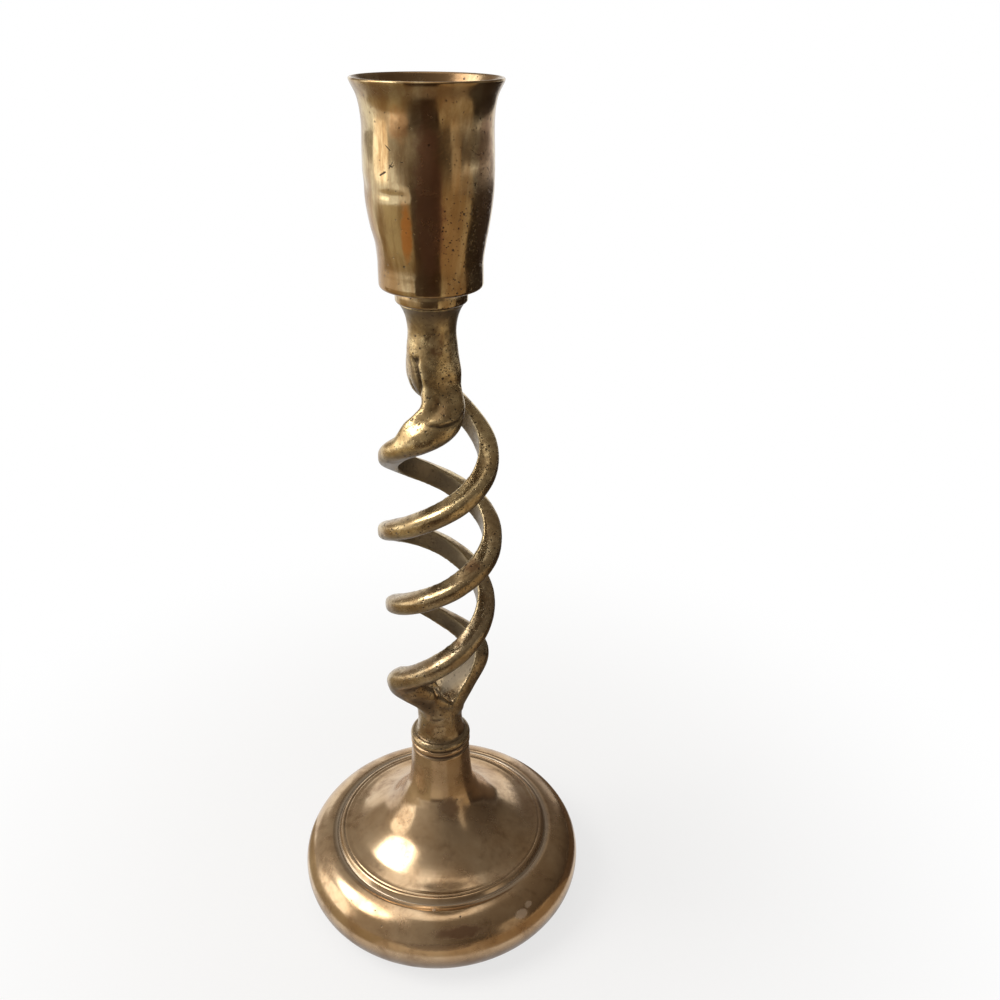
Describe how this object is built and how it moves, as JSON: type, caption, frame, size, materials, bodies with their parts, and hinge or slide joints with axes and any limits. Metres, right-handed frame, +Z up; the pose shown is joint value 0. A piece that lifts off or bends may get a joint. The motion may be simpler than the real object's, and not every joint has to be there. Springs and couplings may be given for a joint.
{
  "type": "candle holder",
  "caption": "Brass candle holder: tulip cup on an open twist of two strands, over a cone and a round rolled base with turned grooves.",
  "frame": {"origin": "on the turning axis, at the surface that the holder stands on", "axes": "+Z up along the turning axis, front towards -Y"},
  "size_m": [0.092, 0.092, 0.254],
  "materials": {
    "base_brass": "cast and turned brass, worn satin polish with a soft brown tarnish",
    "stem_brass": "cast brass, hand filed, pitted, with olive brown tarnish low down",
    "cup_brass": "turned brass, polished, aged to a warm brown with dark pits",
    "stud_steel": "plain steel"
  },
  "bodies": {
    "root": {"base": "base_brass", "twist_stem": "stem_brass", "candle_cup": "cup_brass", "cup_stud": "stud_steel", "stem_stud": "stud_steel", "base_washer": "stud_steel", "base_nut": "stud_steel"}
  },
  "joints": []
}
